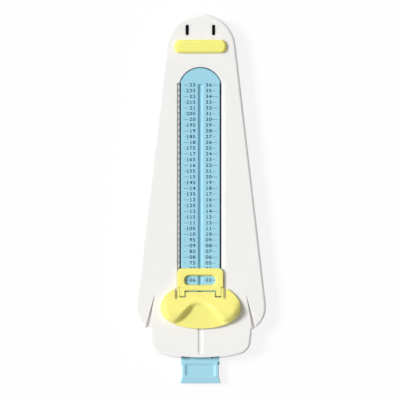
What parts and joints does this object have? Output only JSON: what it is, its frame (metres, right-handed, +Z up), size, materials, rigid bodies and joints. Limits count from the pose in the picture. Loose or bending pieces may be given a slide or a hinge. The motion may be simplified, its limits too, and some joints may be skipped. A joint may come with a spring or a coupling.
{
  "type": "foot measuring device",
  "caption": "Flat bird-shaped foot gauge: a slider with a folding toe stop clicks along a printed scale, and a heel stop folds up at the tail.",
  "frame": {"origin": "under the middle of the whole gauge, on the surface it lies on", "axes": "+Y towards the head of the body, along the scale; +Z up out of the printed face; +X to the right seen from above"},
  "size_m": [0.1144, 0.3224, 0.0228],
  "materials": {
    "shell_white": "satin injection-moulded ABS",
    "plate_blue": "satin ABS",
    "stop_blue": "satin ABS",
    "slider_yellow": "satin ABS",
    "beak_yellow": "satin ABS",
    "eye_black": "polished",
    "keeper_grey": "natural acetal",
    "steel": "zinc-plated or spring steel",
    "foot_rubber": "matt elastomer"
  },
  "bodies": {
    "housing": {"front_shell": "shell_white", "back_cover": "plate_blue", "housing_screws": "steel", "plate_screws": "steel", "foot_head_left": "foot_rubber", "foot_head_right": "foot_rubber", "foot_middle_left": "foot_rubber", "foot_middle_right": "foot_rubber", "foot_belly_left": "foot_rubber", "foot_belly_right": "foot_rubber", "beak": "beak_yellow", "left_eye": "eye_black", "right_eye": "eye_black", "scale_plate": "plate_blue", "click_rack": "shell_white", "heel_pin": "steel"},
    "slider": {"carriage": "slider_yellow", "slider_keeper": "keeper_grey", "click_spring": "steel", "toe_pin": "steel"},
    "toe_stop": {"toe_flap": "slider_yellow", "toe_plate": "slider_yellow"},
    "heel": {"heel_stop": "stop_blue"}
  },
  "joints": [
    {"name": "slider_slide", "type": "slide", "parent": "housing", "child": "slider", "axis": [0, 1, 0], "range_m": [0, 0.17], "deforming": ["click_spring"]},
    {"name": "toe_hinge", "type": "hinge", "parent": "slider", "child": "toe_stop", "pos_m": [0, -0.0787, 0.0149], "axis": [-1, 0, 0], "range_deg": [0, 90]},
    {"name": "heel_hinge", "type": "hinge", "parent": "housing", "child": "heel", "pos_m": [0, -0.14115, 0.0046], "axis": [-1, 0, 0], "range_deg": [0, 90]}
  ]
}
